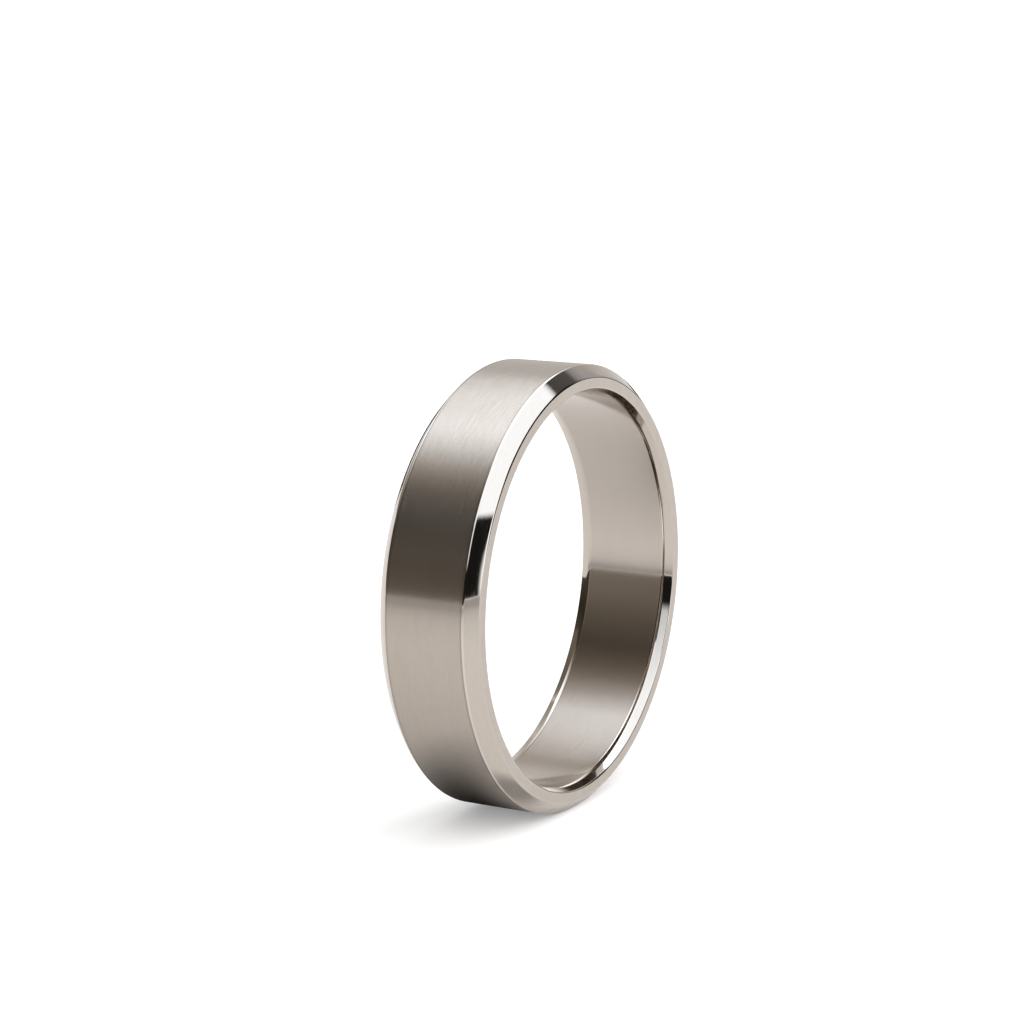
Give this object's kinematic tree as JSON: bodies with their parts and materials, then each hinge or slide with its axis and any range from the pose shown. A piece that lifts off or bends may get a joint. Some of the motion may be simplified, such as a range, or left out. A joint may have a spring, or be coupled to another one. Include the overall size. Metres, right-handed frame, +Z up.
{
  "type": "wedding band",
  "caption": "Plain wedding band with a flat brushed outer wall, polished bevelled edges and a shallow bevel at each end of the finger hole, worn on a finger.",
  "frame": {"origin": "centre of the finger hole, halfway between the two side faces", "axes": "+Y along the band's axis, from the front side face to the back one; +Z up, with the band standing on its rim"},
  "size_m": [0.0208, 0.005, 0.0208],
  "materials": {
    "ring_metal": "outer wall brushed around the band, bevels and side faces polished, finger hole satin"
  },
  "bodies": {
    "root": {"band": "ring_metal"}
  },
  "joints": []
}
